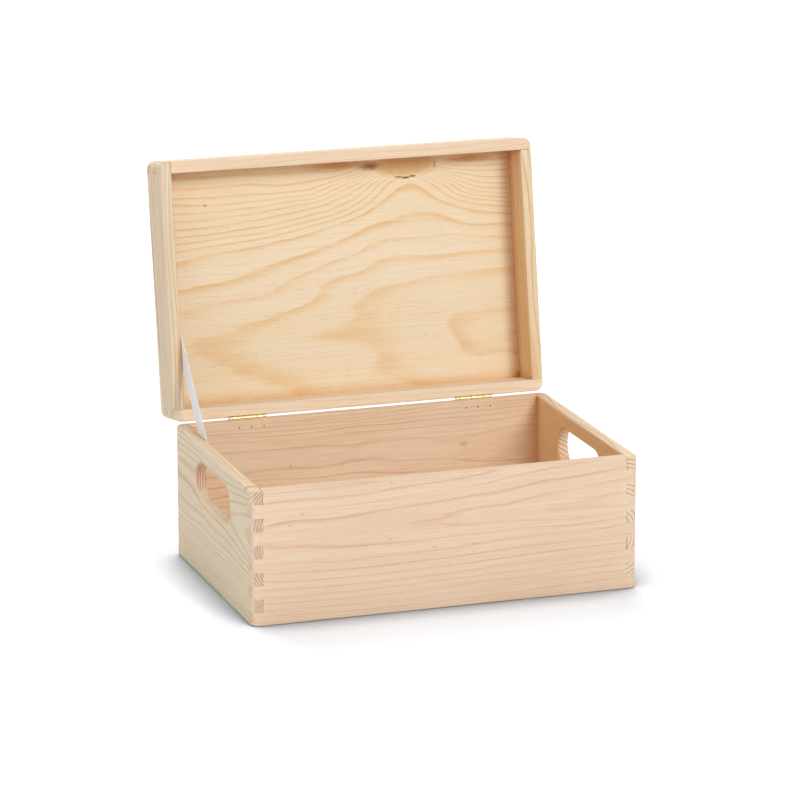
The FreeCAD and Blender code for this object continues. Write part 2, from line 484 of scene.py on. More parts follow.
@dataclass(frozen=True)
class PineFinish(Finish):
    """Raw sanded pine of one board."""

    early: str
    late: str
    warm: str
    late_share: float = 0.8
    warm_share: float = 0.35
    streak_share: float = 0.3
    pore_share: float = 0.35
    waver: float = 0.16
    late_start: float = 0.45
    pore: str = "B98B60"
    end_grain: str = "DAB48E"
    end_share: float = 0.55
    end_line: str = "85552F"
    end_line_share: float = 0.8
    # Rubbed edges: partly wear, partly a painted highlight
    rubbed_highlight: str = "FFF6E6"
    rubbed_highlight_share: float = 0.12
    rubbed_highlight_reach: float = 0.06
    # Colour, share and reach of the painted shade in inner corners
    corner_shade: str = "E6B67C"
    corner_shade_share: float = 0.8
    corner_shade_reach: float = 10.0
    # Tint towards the pith: partly heartwood, partly painted shade on the inner faces
    heartwood_shade: str = ""
    heartwood_shade_ring: float = 25.0
    heartwood_shade_blend: float = 1.5
    heartwood_shade_share: float = 0.6
    rough_early: float = 0.66
    rough_late: float = 0.52
    specular: float = 0.3
    bump_strength: float = 0.25
    bump_depth: float = 0.12
    knots: tuple[Knot, ...] = ()

    def dress(self, sketch: NodeSketch, shader: Node) -> None:
        """Feed the shader with rings, fibres, end grain, knots and painted shade in inner corners.

        Args:
            sketch: Sketch of the material.
            shader: Its shader.
        """
        place, ring = sketch.carried("board", "Vector"), sketch.carried("ring")
        rings = sketch.effect("growth_rings", Place=place, Ring=ring, Waver=self.waver,
                              Late_Start=self.late_start)
        fibre = sketch.effect("fibres", Place=place)
        late = sketch.times(rings["Late"], sketch.carried("tone"))
        cut = sketch.band(sketch.carried("end_grain"), 0.6, 0.95)
        colour = sketch.lay(paint(self.early), self.warm, fibre["Cloud"], self.warm_share)
        # Heartwood tint towards the pith, which also serves as painted shade on the inner faces of the
        # right rail and right wall
        if self.heartwood_shade:
            inner = sketch.band(ring, self.heartwood_shade_ring - self.heartwood_shade_blend, self.heartwood_shade_ring,
                                self.heartwood_shade_share, 0.0)
            colour = sketch.lay(colour, self.heartwood_shade, inner, sketch.minus(1.0, cut))
        dark = sketch.times(cut, rings["Line"])
        for code, mask, share in ((self.late, late, self.late_share),
                                  (self.late, fibre["Streak"], self.streak_share),
                                  (self.pore, fibre["Pore"], self.pore_share),
                                  (self.end_grain, cut, self.end_share),
                                  (self.end_line, dark, self.end_line_share)):
            colour = sketch.lay(colour, code, mask, share)
        for knot in self.knots:
            colour = knot.lay_on(sketch, place, colour)
        # Rubbed edges lighter: partly wear, partly a painted highlight
        rubbed_highlight = sketch.effect("rubbed_edge_highlights", Place=place, Reach=self.rubbed_highlight_reach)["Rubbed"]
        colour = sketch.lay(colour, self.rubbed_highlight, rubbed_highlight, self.rubbed_highlight_share)
        # Painted shade: warmer, darker colour in inner corners and under rails, where nearby boards block
        # the light
        shade = sketch.effect("painted_corner_shade", Reach=self.corner_shade_reach * MM)["Shade"]
        colour = sketch.lay(colour, self.corner_shade, shade, self.corner_shade_share, "MULTIPLY")
        height = sketch.plus(sketch.times(fibre["Height"], 0.5), sketch.times(late, 0.5))
        sketch.fill(shader, Base_Color=colour, Specular_IOR_Level=self.specular,
                    Roughness=sketch.band(late, 0.0, 1.0, self.rough_early, self.rough_late),
                    Normal=sketch.bump(height, self.bump_strength, self.bump_depth))


@dataclass(frozen=True)
class MetalFinish(Finish):
    """Drawn metal of a hinge, pin, nail or tack."""

    bright: str
    dull: str
    roughness: float
    gap_shade: str = ""
    dull_share: float = 0.6
    rubbed_highlight_share: float = 0.4
    rubbed_highlight_reach: float = 0.08
    line_roughness: float = 0.12
    dull_roughness: float = 0.14
    bump_strength: float = 0.15
    bump_depth: float = 0.03

    def dress(self, sketch: NodeSketch, shader: Node) -> None:
        """Feed the shader with drawn lines, dull clouds and rubbed edges that carry a painted highlight.

        Args:
            sketch: Sketch of the material.
            shader: Its shader.
        """
        seat = sketch.node("TexCoord").outputs
        place = sketch.vector("MULTIPLY", seat["Object"], (1 / MM,) * 3)[0]
        scuff = sketch.effect("scuffs", Place=place)
        # Rubbed edges in the bright colour: partly wear, partly a painted highlight
        rubbed_highlight = sketch.effect("rubbed_edge_highlights", Place=place, Reach=self.rubbed_highlight_reach)["Rubbed"]
        colour = sketch.lay(paint(self.bright), self.dull, scuff["Dull"], self.dull_share)
        colour = sketch.lay(colour, self.bright, rubbed_highlight, self.rubbed_highlight_share)
        # Painted shade in the gaps between hinge knuckles: faces across the hinge axis are made dark
        if self.gap_shade:
            endways = sketch.band(sketch.math("ABSOLUTE", sketch.parts(seat["Normal"])[0]), 0.7, 0.95)
            colour = sketch.mix(endways, colour, paint(self.gap_shade))
        uneven = sketch.plus(sketch.times(scuff["Lines"], self.line_roughness),
                             sketch.times(scuff["Dull"], self.dull_roughness))
        sketch.fill(shader, Base_Color=colour, Metallic=1.0,
                    Roughness=sketch.plus(uneven, self.roughness),
                    Normal=sketch.bump(scuff["Lines"], self.bump_strength, self.bump_depth))


@dataclass(frozen=True)
class NailFinish(MetalFinish):
    """Nail that is bright at its head and dark at its tip, where painted shade stands for the nail hole.
    """

    tip_shade: str = "6B4A30"
    tip_depth: float = 9.7
    turn: float = 0.0

    def dress(self, sketch: NodeSketch, shader: Node) -> None:
        """Feed the shader as for any metal, and paint the tip dark as the shade of its hole.

        Args:
            sketch: Sketch of the material.
            shader: Its shader.
        """
        super().dress(sketch, shader)
        from_pin = sketch.vector("SUBTRACT", sketch.node("TexCoord").outputs["Object"], HINGE["pos_m"])[0]
        angle = math.radians(self.turn)
        inward = (0.0, -math.cos(angle), -math.sin(angle))
        depth = sketch.vector("DOT_PRODUCT", from_pin, inward)["Value"]
        # Painted shade: the nail's end, flush in its hole, is made dark
        at_tip = sketch.math("GREATER_THAN", depth, self.tip_depth * MM)
        plain = shader.inputs["Base Color"].links[0].from_socket
        sketch.fill(shader, Base_Color=sketch.mix(at_tip, plain, paint(self.tip_shade)))


@dataclass(frozen=True)
class TapeFinish(Finish):
    """White woven tape."""

    thread: str = "F5F3F1"
    shade: str = "DAD7D3"
    shade_share: float = 0.35
    soil: str = "E4DFD6"
    soil_share: float = 0.35
    warp_pitch: float = 0.55
    weft_pitch: float = 0.45
    rough_low: float = 0.85
    rough_high: float = 0.62
    sheen: float = 0.25
    bump_strength: float = 0.5
    bump_depth: float = 0.08

    def dress(self, sketch: NodeSketch, shader: Node) -> None:
        """Feed the shader with threads and a little soil.

        Args:
            sketch: Sketch of the material.
            shader: Its shader.
        """
        place = sketch.carried("board", "Vector")
        weave = sketch.effect("plain_weave", Place=place, Warp_Pitch=self.warp_pitch,
                              Weft_Pitch=self.weft_pitch)
        soil = sketch.band(sketch.noise(place, (0.05, 0.15, 0.15), 3.0), 0.45, 0.8, 0.0, self.soil_share)
        colour = sketch.lay(paint(self.thread), self.shade, weave["Warp"], self.shade_share)
        colour = sketch.mix(soil, colour, paint(self.soil))
        sketch.fill(shader, Base_Color=colour, Sheen_Weight=self.sheen,
                    Roughness=sketch.band(weave["Height"], 0.0, 1.0, self.rough_low, self.rough_high),
                    Normal=sketch.bump(weave["Height"], self.bump_strength, self.bump_depth))


@dataclass(frozen=True)
class PaperFinish(Finish):
    """White paper that keeps the shadow, has a painted contact shadow under the box and looks white
    elsewhere.
    """

    colour: str = "EEF2F8"
    glow: float = 0.29
    contact_shadow_colour: str = "B4B9C1"
    contact_shadow_reach: float = 0.052
    roughness: float = 0.9

    def dress(self, sketch: NodeSketch, shader: Node) -> None:
        """Feed the shader with the painted contact shadow under the box and the glow around it, which
        fades near the box.

        Args:
            sketch: Sketch of the material.
            shader: Its shader.
        """
        # Painted contact shadow: the colour darkens and the glow fades where the floor lies close to the
        # box
        nearby = sketch.fill(sketch.node("AmbientOcclusion", samples=8), Distance=self.contact_shadow_reach)
        clear = sketch.band(nearby.outputs["AO"], 0.5, 0.97)
        open_floor = sketch.math("POWER", clear, 0.3)
        colour = sketch.mix(open_floor, paint(self.contact_shadow_colour), paint(self.colour))
        glow = sketch.times(sketch.seen_plainly(), sketch.math("POWER", clear, 0.5))
        sketch.fill(shader, Base_Color=colour, Roughness=self.roughness, Specular_IOR_Level=0.0,
                    Emission_Color=WHITE, Emission_Strength=sketch.times(glow, self.glow))


@dataclass(frozen=True)
class GrowthLine:
    """Growth line drawn on a board's face, through points in millimetres."""

    ring: float
    tone: float
    points: tuple[Spot, ...]


def drawn(*rows: tuple) -> tuple[GrowthLine, ...]:
    """Growth lines from their ring number, tone and points."""
    return tuple(GrowthLine(*row) for row in rows)


@dataclass(frozen=True)
class SawnGrain:
    """Growth rings of a board sawn from a straight log."""

    pith: Spot
    ring_width: float
    taper: float = 0.01
    tone: float = 0.8
    sway: float = 1.5
    sway_length: float = 190.0
    sway_drift: float = 40.0

    def radius(self, across: np.ndarray, inward: np.ndarray) -> np.ndarray:
        """Distance from the pith, in rings."""
        return np.hypot(across - self.pith[0], inward - self.pith[1]) / self.ring_width

    def rings(self, place: np.ndarray) -> np.ndarray:
        """Ring number at each place.

        Args:
            place: Places along, across and into the board, in millimetres.

        Returns:
            One ring number for each place.
        """
        along, across, inward = place.T
        swing = self.sway * np.sin(along * 2 * math.pi / self.sway_length + across / self.sway_drift)
        return self.radius(across + swing, inward) - self.taper * along

    def tones(self, rings: np.ndarray) -> np.ndarray:
        """Strength of the late wood, which differs a little from ring to ring."""
        return self.tone * (0.75 + 0.25 * np.sin(rings * 2.4) * np.sin(rings * 0.7 + 1.0))


@dataclass(frozen=True)
class DrawnGrain(SawnGrain):
    """Growth rings that follow lines drawn on the board's face and curve into its depth."""

    lines: tuple[GrowthLine, ...] = ()
    guides: tuple[Point, ...] = ()
    draw_out: float = 2.5
    slack: float = 0.02
    plate_scale: float = 1000.0
    tone_start: float = 0.02

    def on_face(self, face: np.ndarray) -> np.ndarray:
        """Smooth surface through the drawn lines.

        Args:
            face: Places along and across the face, in millimetres.

        Returns:
            One ring number for each place.
        """
        squeeze = np.array([1 / self.draw_out, 1.0])
        traced = [(*spot, line.ring) for line in self.lines for spot in line.points]
        known = np.array(traced + list(self.guides), float)
        knots, values = known[:, :2] * squeeze, known[:, 2]

        def kernel(first: np.ndarray, second: np.ndarray) -> np.ndarray:
            """Thin-plate weights between two sets of places."""
            square = ((first[:, None, :] - second[None, :, :]) ** 2).sum(-1) / self.plate_scale
            return square * np.log(square + 1e-9)

        count = len(knots)
        flat = np.column_stack([np.ones(count), knots])
        system = np.zeros((count + 3, count + 3))
        system[:count, :count] = kernel(knots, knots) + self.slack * np.eye(count)
        system[:count, count:] = flat
        system[count:, :count] = flat.T
        weights = np.linalg.solve(system, np.concatenate([values, np.zeros(3)]))
        asked = face * squeeze
        return (kernel(asked, knots) @ weights[:count]
                + np.column_stack([np.ones(len(asked)), asked]) @ weights[count:])

    def rings(self, place: np.ndarray) -> np.ndarray:
        """Ring number at each place: the drawn one, and the log's curve below the face.

        Args:
            place: Places along, across and into the board, in millimetres.

        Returns:
            One ring number for each place.
        """
        across, inward = place[:, 1], place[:, 2]
        deeper = self.radius(across, inward) - self.radius(across, np.zeros_like(inward))
        return self.on_face(place[:, :2]) + deeper

    def tones(self, rings: np.ndarray) -> np.ndarray:
        """Strength of the late wood, line by line.

        Args:
            rings: Ring numbers.

        Returns:
            One strength for each ring number.
        """
        order = sorted({line.ring: line.tone for line in self.lines}.items())
        numbers = np.array([number for number, _ in order])
        strengths = np.array([tone for _, tone in order])
        return np.interp(np.ceil(rings - self.tone_start), numbers, strengths)


@dataclass(frozen=True)
class BoardAxes:
    """Corner of a board and its directions along, across and into the wood, with the lid closed."""

    corner: Point
    along: Point
    across: Point
    inward: Point

    def place(self, points: np.ndarray) -> np.ndarray:
        """Turn points into places on the board, in millimetres."""
        return (points - np.array(self.corner)) @ np.array([self.along, self.across, self.inward]).T


@dataclass
class Timber:
    """One piece of pine that stands for a CAD board and carries its grain."""

    node: str
    body: Body
    axes: BoardAxes
    grain: SawnGrain
    finish: PineFinish
    slot: Slot = Slot.BOARD
    step: float = 6.0
    seed: float = 0.0
    seed_shift: float = 40.0
    sharp_angle: float = 35.0
    normal_weight: int = 80
    merge_distance: float = 0.002
    cut_distance: float = 0.001

    @property
    def swing(self) -> float:
        """Angle that brings the piece from where it is to where it is in the closed box."""
        return OPEN_ANGLE if self.body is Body.LID else 0.0

    def build(self) -> bpy.types.Object:
        """Make the piece.

        Returns:
            The new object, riding on its body.
        """
        mesh = self.divided()
        self.carry_grain(mesh)
        piece = put("wood_" + self.node, mesh)
        mesh.materials.clear()
        mesh.materials.append(self.finish.material("pine_" + self.node))
        mesh.shade_smooth()
        mesh.set_sharp_from_angle(angle=math.radians(self.sharp_angle))
        normals = piece.modifiers.new("flat_faces", "WEIGHTED_NORMAL")
        normals.keep_sharp = True
        normals.weight = self.normal_weight
        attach(piece, self.body.value)
        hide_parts(self.node)
        return piece

    def divided(self) -> bpy.types.Mesh:
        """Copy the CAD board and slice it finely enough to carry its grain.

        Returns:
            The sliced mesh.
        """
        form = bmesh.new()
        form.from_mesh(frame["nodes"][self.node].data)
        bmesh.ops.remove_doubles(form, verts=form.verts[:], dist=self.merge_distance * MM)
        directions = np.array([self.axes.along, self.axes.across, self.axes.inward])
        for direction in swung(directions, -self.swing):
            self.slice(form, Vector(direction))
        mesh = bpy.data.meshes.new("wood_" + self.node)
        form.to_mesh(mesh)
        form.free()
        return mesh

    def slice(self, form: bmesh.types.BMesh, direction: Vector) -> None:
        """Cut the form across one direction into even slices.

        Args:
            form: The board.
            direction: Normal of the cuts.
        """
        reach = [v.co.dot(direction) for v in form.verts]
        low, span = min(reach), max(reach) - min(reach)
        count = max(3, round(span / (self.step * MM)))
        for i in range(1, count):
            everything = form.verts[:] + form.edges[:] + form.faces[:]
            bmesh.ops.bisect_plane(form, geom=everything, dist=self.cut_distance * MM,
                                   plane_co=direction * (low + span * i / count), plane_no=direction)

    def carry_grain(self, mesh: bpy.types.Mesh) -> None:
        """Store place, ring, tone and end grain on the mesh.

        Args:
            mesh: The sliced board.
        """
        points = np.empty(len(mesh.vertices) * 3)
        mesh.vertices.foreach_get("co", points)
        place = self.axes.place(swung(points.reshape(-1, 3) / MM, self.swing, PIN_PLACE))
        normals = np.empty(len(mesh.polygons) * 3)
        mesh.polygons.foreach_get("normal", normals)
        facing = swung(normals.reshape(-1, 3), self.swing) @ np.array(self.axes.along)
        rings = self.grain.rings(place)
        tones = self.grain.tones(rings)
        for name, domain, values in (("ring", "POINT", rings), ("tone", "POINT", tones),
                                     ("end_grain", "FACE", np.abs(facing))):
            layer = mesh.attributes.new(name, "FLOAT", domain)
            layer.data.foreach_set("value", values.astype(np.float32))
        shifted = place + np.array([0.0, 0.0, self.seed * self.seed_shift])
        board = mesh.attributes.new("board", "FLOAT_VECTOR", "POINT")
        board.data.foreach_set("vector", shifted.astype(np.float32).ravel())


FRONT_LINES = drawn(
    (0, 0.4, ((209, 33.5), (244, 30), (289, 24), (233, 38), (289, 40))),
    (1, 0.55, ((111, 35.5), (142, 32), (200, 26.5), (244, 21), (289, 15.5), (142, 39.5), (200, 41),
        (289, 41))),
    (2, 0.85, ((11, 25.5), (56, 24), (111, 21), (156, 18), (222, 11), (289, 6.5), (11, 43.5),
        (33, 45.5), (56, 48), (100, 49.5), (156, 48), (222, 47), (289, 46.5))),
    (3, 0.5, ((11, 15), (111, 13), (200, 5.5), (244, 1), (11, 58), (67, 59.5), (156, 58), (289, 52))),
    (4, 0.75, ((11, 9), (89, 8), (156, 3.5), (189, 0), (11, 63), (67, 65.5), (156, 64.5), (222, 62),
        (289, 61))),
    (5, 0.8, ((11, 2), (67, 1), (11, 69), (67, 72), (156, 70.5), (222, 68), (289, 66.5))),
    (6, 0.55, ((11, 76.5), (156, 76.5), (289, 72))),
    (7, 0.6, ((11, 81), (156, 81), (289, 78))),
    (8, 0.6, ((11, 86.5), (156, 86.5), (289, 82))),
    (9, 0.5, ((11, 91), (289, 88))),
    (10, 0.5, ((11, 95.5), (289, 93.5))),
    (11, 0.5, ((11, 99.5), (289, 99))),
)

LEFT_END_LINES = drawn(
    (0, 0.6, ((175, 34), (183, 30), (198, 27.5), (183, 39), (198, 41))),
    (1, 0.6, ((142, 32.5), (150, 27.5), (167, 23.5), (183, 20), (198, 16.5), (150, 41), (167, 44),
        (183, 48.5), (198, 51.5))),
    (2, 0.7, ((8, 21.5), (52, 21), (143, 20), (167, 15), (198, 10), (10, 39), (33, 39), (50, 41.5),
        (75, 46), (117, 47.5), (150, 50), (198, 56))),
    (3, 0.6, ((8, 16.5), (83, 16), (150, 12.5), (198, 5), (10, 55), (75, 53.5), (133, 54.5),
        (198, 58.5))),
    (4, 0.8, ((8, 11), (100, 9), (198, 2.5), (10, 63.5), (83, 63), (142, 62.5), (198, 64))),
    (5, 0.6, ((8, 5), (100, 4), (167, 1), (10, 70), (100, 69), (198, 70))),
    (6, 0.7, ((8, 1.5), (11, 73.5), (100, 73.5), (198, 72.5))),
    (9, 0.45, ((12, 80), (100, 80), (198, 79))),
    (12, 0.6, ((12, 86.5), (100, 86), (198, 85))),
    (15, 0.45, ((12, 92.5), (100, 92), (198, 91))),
    (18, 0.55, ((12, 98.5), (100, 98.5), (198, 97.5))),
)

BACK_LINES = drawn(
    (2, 0.6, ((42, 23), (133, 26), (209, 27), (242, 25.5), (291, 23), (53, 43), (109, 43),
        (165, 42.5), (231, 48.5), (291, 52))),
    (3, 0.45, ((31, 14.5), (120, 16.5), (209, 15.5), (291, 13.5), (60, 48), (142, 49.5), (209, 54.5),
        (291, 58))),
    (4, 0.9, ((31, 10.5), (142, 11), (291, 9.5), (31, 60), (142, 62), (291, 65))),
    (5, 0.95, ((31, 8.5), (142, 9), (291, 7), (31, 68), (291, 71))),
    (6, 0.9, ((31, 6), (142, 7), (291, 5), (31, 75), (291, 77))),
    (7, 0.7, ((31, 4), (142, 4.5), (291, 2.5), (31, 82), (291, 83))),
    (8, 0.6, ((31, 1), (291, 0.5), (31, 89), (291, 89))),
    (9, 0.6, ((31, 96), (291, 96))),
)

PANEL_LINES = drawn(
    (0, 0.6, ((282, 141), (270, 144.5), (282, 150))),
    (1, 0.65, ((282, 122), (269, 122.5), (249, 124), (229, 124.5), (220.5, 131.5), (225.5, 141.5),
        (232, 150.5), (238, 161.5), (249, 163), (269, 159.5), (279, 161.5))),
    (2, 0.55, ((107, 133), (133, 127), (144, 121), (143.5, 113), (158, 105), (167, 100.5),
        (187, 97.5), (219, 93), (249, 92.5), (269, 91), (282, 90.5), (122, 142), (138, 145.5), (155, 146),
        (159.5, 154.5), (157, 165.5), (171, 173), (189, 178))),
    (3, 0.62, ((12, 130), (25, 126), (47, 124), (55, 119), (75.5, 118), (87.5, 113), (112.5, 107),
        (119, 103), (122, 95), (132, 90.5), (155, 86), (166, 80), (176, 77.5), (194.5, 75), (208, 77.5),
        (229, 77.5), (249, 76.5), (282, 77.5), (24, 149.5), (35, 153.5), (47, 161.5), (55, 166.5),
        (72, 168.5), (87.5, 174.5))),
    (4, 0.45, ((11, 105.5), (25, 104), (44, 101.5), (78, 98), (89, 92), (111, 83.5), (138, 75.5),
        (153, 72.5), (163, 65), (186, 62), (208.5, 64), (221, 61), (239, 62.5), (263, 66), (282, 68))),
    (5, 0.85, ((10, 90), (42, 86), (67, 80), (82.5, 76), (108, 70), (128, 64.5), (144.5, 59.5),
        (153, 56.5), (183, 48.5), (208.5, 43.5), (218.5, 43.5), (228.5, 48.5), (238.5, 52.5), (249, 56.5),
        (282, 58))),
    (6, 1.0, ((10, 68), (42, 63.5), (67, 61.5), (87.5, 58.5), (108, 55.5), (128, 50.5), (144.5, 46.5),
        (158, 42.5), (168, 37.5), (178, 31.5), (185.5, 26.5), (194.5, 24), (207.5, 24), (215.5, 30),
        (228.5, 37.5), (242, 42.5), (259, 46.5), (282, 49.5))),
    (7, 0.9, ((10.5, 60.5), (63, 56.5), (87.5, 53.5), (138, 44.5), (158, 37.5), (173, 27.5),
        (182, 18), (207.5, 16.5), (223.5, 26), (239, 35.5), (249, 39.5), (264, 41.5), (282, 44.5))),
    (8, 0.85, ((10.5, 54.5), (47, 52.5), (108, 45.5), (138, 40.5), (163, 27.5), (178, 17),
        (210.5, 15.5), (228.5, 24), (238.5, 31.5), (245, 34.5), (259, 37.5), (282, 41))),
    (9, 0.95, ((10, 50), (42, 49), (77, 46.5), (108, 42), (138, 35.5), (158, 28), (176, 16),
        (213.5, 15), (228.5, 21), (240, 29.5), (249, 32), (282, 37.5))),
    (10, 0.95, ((10, 44), (42, 43), (67, 40.5), (92.5, 38), (118, 34.5), (138, 29), (158, 22),
        (173, 14), (215.5, 14.5), (230.5, 20), (244, 26), (259, 31.5), (282, 34))),
    (11, 0.85, ((10, 37.5), (42, 37), (77, 34.5), (108, 31), (144.5, 22), (153, 19), (171, 12),
        (217.5, 14), (234, 19), (247, 24.5), (264, 28), (282, 30))),
    (12, 0.8, ((10, 32), (47, 32), (77, 31), (118, 28), (144.5, 19), (158, 15), (169, 10.5),
        (218.5, 13), (239, 18), (259, 24), (282, 26))),
    (13, 0.9, ((10, 24.5), (42, 26.5), (67, 26), (97.5, 24.5), (144.5, 16.5), (163, 11.5),
        (219.5, 11.5), (239, 15), (259, 19), (282, 20.5))),
    (14, 0.85, ((10, 20), (42, 21), (92.5, 21.5), (118, 20), (144.5, 14), (158, 10), (223.5, 9.5),
        (244, 13), (282, 14))),
    (15, 0.85, ((10, 12), (67, 12), (118, 13), (144.5, 11), (221.5, 6), (239, 9.5), (282, 11))),
    (16, 0.7, ((10, 4), (118, 5), (150, 5), (230, 3), (282, 5))),
)

# Places between the lines, with the ring number that they should have
FRONT_GUIDES = (
    (20, 34, 1.4), (60, 36, 1.3), (95, 36, 1.15), (130, 36, 0.85), (150, 36, 0.7), (175, 35, 0.4),
)
BACK_GUIDES = (
    (30, 33, 1.3), (60, 34, 1.3), (120, 36, 1.35), (190, 35, 1.35), (250, 34, 1.3), (291, 34, 1.3),
)


@dataclass
class Casework:
    """What box and lid share: their outline and how thick their boards are, in millimetres."""

    half_length: float = 150.0
    half_depth: float = 99.0
    board: float = 9.0

    @property
    def inner(self) -> Spot:
        """Half the length and half the depth between the boards."""
        return self.half_length - self.board, self.half_depth - self.board


@dataclass
class Carcass(Casework):
    """The box itself: four finger-jointed walls and a bottom."""

    height: float = 102.0

    def timbers(self) -> list[Timber]:
        """List the boards.

        Returns:
            The pieces of pine, not yet built.
        """
        half_x, half_y = self.half_length, self.half_depth
        inner_x, inner_y = self.inner
        top = self.height
        fleck = {"core": "B4835A", "core_share": 0.5, "edge_share": 0.0, "soft": 0.85}
        front = PineFinish("EED5BA", "D8A679", "E9C6A6", late_share=0.8, late_start=0.6, end_share=0.25,
                           end_line_share=0.3, knots=(
            Knot((29, 28), (1.6, 1.0), **fleck), Knot((106, 45.5), (1.8, 0.9), **fleck),
            Knot((171, 55), (2.4, 0.8), **fleck), Knot((140, 54.5), (3.0, 0.8), **fleck),
            Knot((107, 2.5), (2.0, 0.8), **fleck), Knot((39, 20), (2.4, 0.8), **fleck)))
        left = PineFinish("ECDEC2", "C49468", "E4CEAC", late_share=0.85, late_start=0.55, waver=0.07,
                          end_grain="D6A782", end_share=0.6, knots=(
            Knot((184, 1.2), (3.5, 1.4), core="DDA468", core_share=0.6, edge_share=0.2),))
        back = PineFinish("F6E0C6", "D29C6A", "EFCAA4", late_share=0.75, late_start=0.62, waver=0.1,
                          knots=(
            Knot((230, 33.5), (5.0, 3.2), core="C08A62", core_share=0.4, edge_share=0.0, soft=0.95),
            Knot((89, 38.5), (1.6, 1.0), **fleck)))
        right = PineFinish("F4DFC2", "CB9A6A", "E9C8A0", late_share=0.75, late_start=0.5,
                           end_grain="EACFAE", end_line_share=0.65, heartwood_shade="E2AC6A", heartwood_shade_ring=19.0,
                           heartwood_shade_share=0.6)
        bottom = PineFinish("EAD5B2", "D2A871", "E2C498", late_share=0.7)
        return [
            Timber("front_board", Body.BOX,
                   BoardAxes((-half_x, -half_y, top), RIGHT, DOWN, BACK),
                   DrawnGrain((36.0, 42.0), 2.4, lines=FRONT_LINES, guides=FRONT_GUIDES), front, seed=1),
            Timber("back_board", Body.BOX,
                   BoardAxes((-half_x, inner_y, top), RIGHT, DOWN, BACK),
                   DrawnGrain((36.0, -40.0), 3.0, lines=BACK_LINES, guides=BACK_GUIDES), back, seed=2),
            Timber("left_end_board", Body.BOX,
                   BoardAxes((-half_x, half_y, top), FRONT, DOWN, RIGHT),
                   DrawnGrain((45.0, 40.0), 1.9, lines=LEFT_END_LINES), left, seed=3),
            Timber("right_end_board", Body.BOX,
                   BoardAxes((inner_x, -half_y, top), BACK, DOWN, RIGHT),
                   SawnGrain((60.0, -14.0), 3.2, taper=0.006), right, seed=4),
            Timber("bottom_panel", Body.BOX,
                   BoardAxes((-inner_x, -inner_y, 0.0), RIGHT, BACK, UP),
                   SawnGrain((70.0, 60.0), 3.6, taper=0.012), bottom, Slot.PANEL, seed=5),
        ]


@dataclass
class Lid(Casework):
    """The lid, given as it is when closed: four finger-jointed rails and a panel."""

    rim: float = 102.3
    inner_depth: float = 28.4

    def timbers(self) -> list[Timber]:
        """List the rails and the panel.

        Returns:
            The pieces of pine, not yet built.
        """
        half_x, half_y = self.half_length, self.half_depth
        inner_x, inner_y = self.inner
        stained = {"edge_share": 0.0, "ring_share": 0.0, "blend": "MULTIPLY"}
        dark = {**stained, "core": "965F1C", "core_share": 0.95, "soft": 0.6}
        crack = {**stained, "core": "B07A3A", "core_share": 0.8, "soft": 0.8}
        bulge = {"core": "DFB67C", "edge": "AC7C4C", "edge_share": 0.12, "ring_share": 0.2, "soft": 0.5}
        smear = {**stained, "core": "E0B884", "core_share": 0.9, "soft": 0.95}
        stain = {**smear, "core": "AC6E30"}
        rail = PineFinish("F8E6CC", "DFBA90", "F2D9B6", late_share=0.6, corner_shade_share=0.0)
        front = PineFinish("F3DDBF", "DBB084", "EDCBA6", late_share=0.55)
        left = PineFinish("EDDBBE", "B98754", "E2C8A2", late_share=0.9, late_start=0.55)
        right = PineFinish("F1DCB8", "CB985C", "E6C598", late_share=0.85, heartwood_shade="D79A55", heartwood_shade_ring=14.4,
                           heartwood_shade_share=0.45)
        panel = PineFinish("F4E4C8", "E8BA78", "F2DBB2", late_share=0.9, late_start=0.42,
                           pore_share=0.45, knots=(
            Knot((247, 5.0), (26, 4.5), **smear), Knot((140, 3.5), (34, 5.0), **smear),
            Knot((168, 6.0), (13.0, 4.5), **stain),
            Knot((184, 6.0), (13, 9.0), **bulge), Knot((208, 5.0), (14, 10.0), **bulge),
            Knot((196, 7.0), (12, 10.0), **bulge), Knot((220.5, 8), (0.8, 4.0), **crack),
            Knot((190.5, 15.8), (4.5, 0.8), **dark), Knot((196.5, 16.7), (4.0, 1.1), **dark),
            Knot((202, 15.8), (4.0, 0.8), **dark),
            Knot((33, 27.5), (1.4, 1.2), core="B89368", core_share=0.6, edge_share=0.2)))
        return [
            Timber("lid_front_rail", Body.LID,
                   BoardAxes((-half_x, -half_y, self.rim), RIGHT, UP, BACK),
                   SawnGrain((-30.0, 40.0), 3.4, taper=0.006), front, seed=6),
            Timber("lid_back_rail", Body.LID,
                   BoardAxes((-half_x, inner_y, self.rim), RIGHT, UP, BACK),
                   SawnGrain((-25.0, -40.0), 4.2, taper=0.006), rail, seed=7),
            Timber("lid_left_rail", Body.LID,
                   BoardAxes((-half_x, -half_y, self.rim), BACK, UP, RIGHT),
                   SawnGrain((40.0, 42.0), 2.2, taper=0.006), left, seed=8),
            Timber("lid_right_rail", Body.LID,
                   BoardAxes((inner_x, -half_y, self.rim), BACK, UP, RIGHT),
                   SawnGrain((45.0, -40.0), 4.0, taper=0.012, sway=3.0), right, seed=9),
            Timber("lid_panel", Body.LID,
                   BoardAxes((-inner_x, -inner_y, self.rim + self.inner_depth), RIGHT, BACK, UP),
                   DrawnGrain((140.0, 30.0), 8.0, lines=PANEL_LINES), panel, Slot.PANEL, step=3.5,
                   seed=10),
        ]


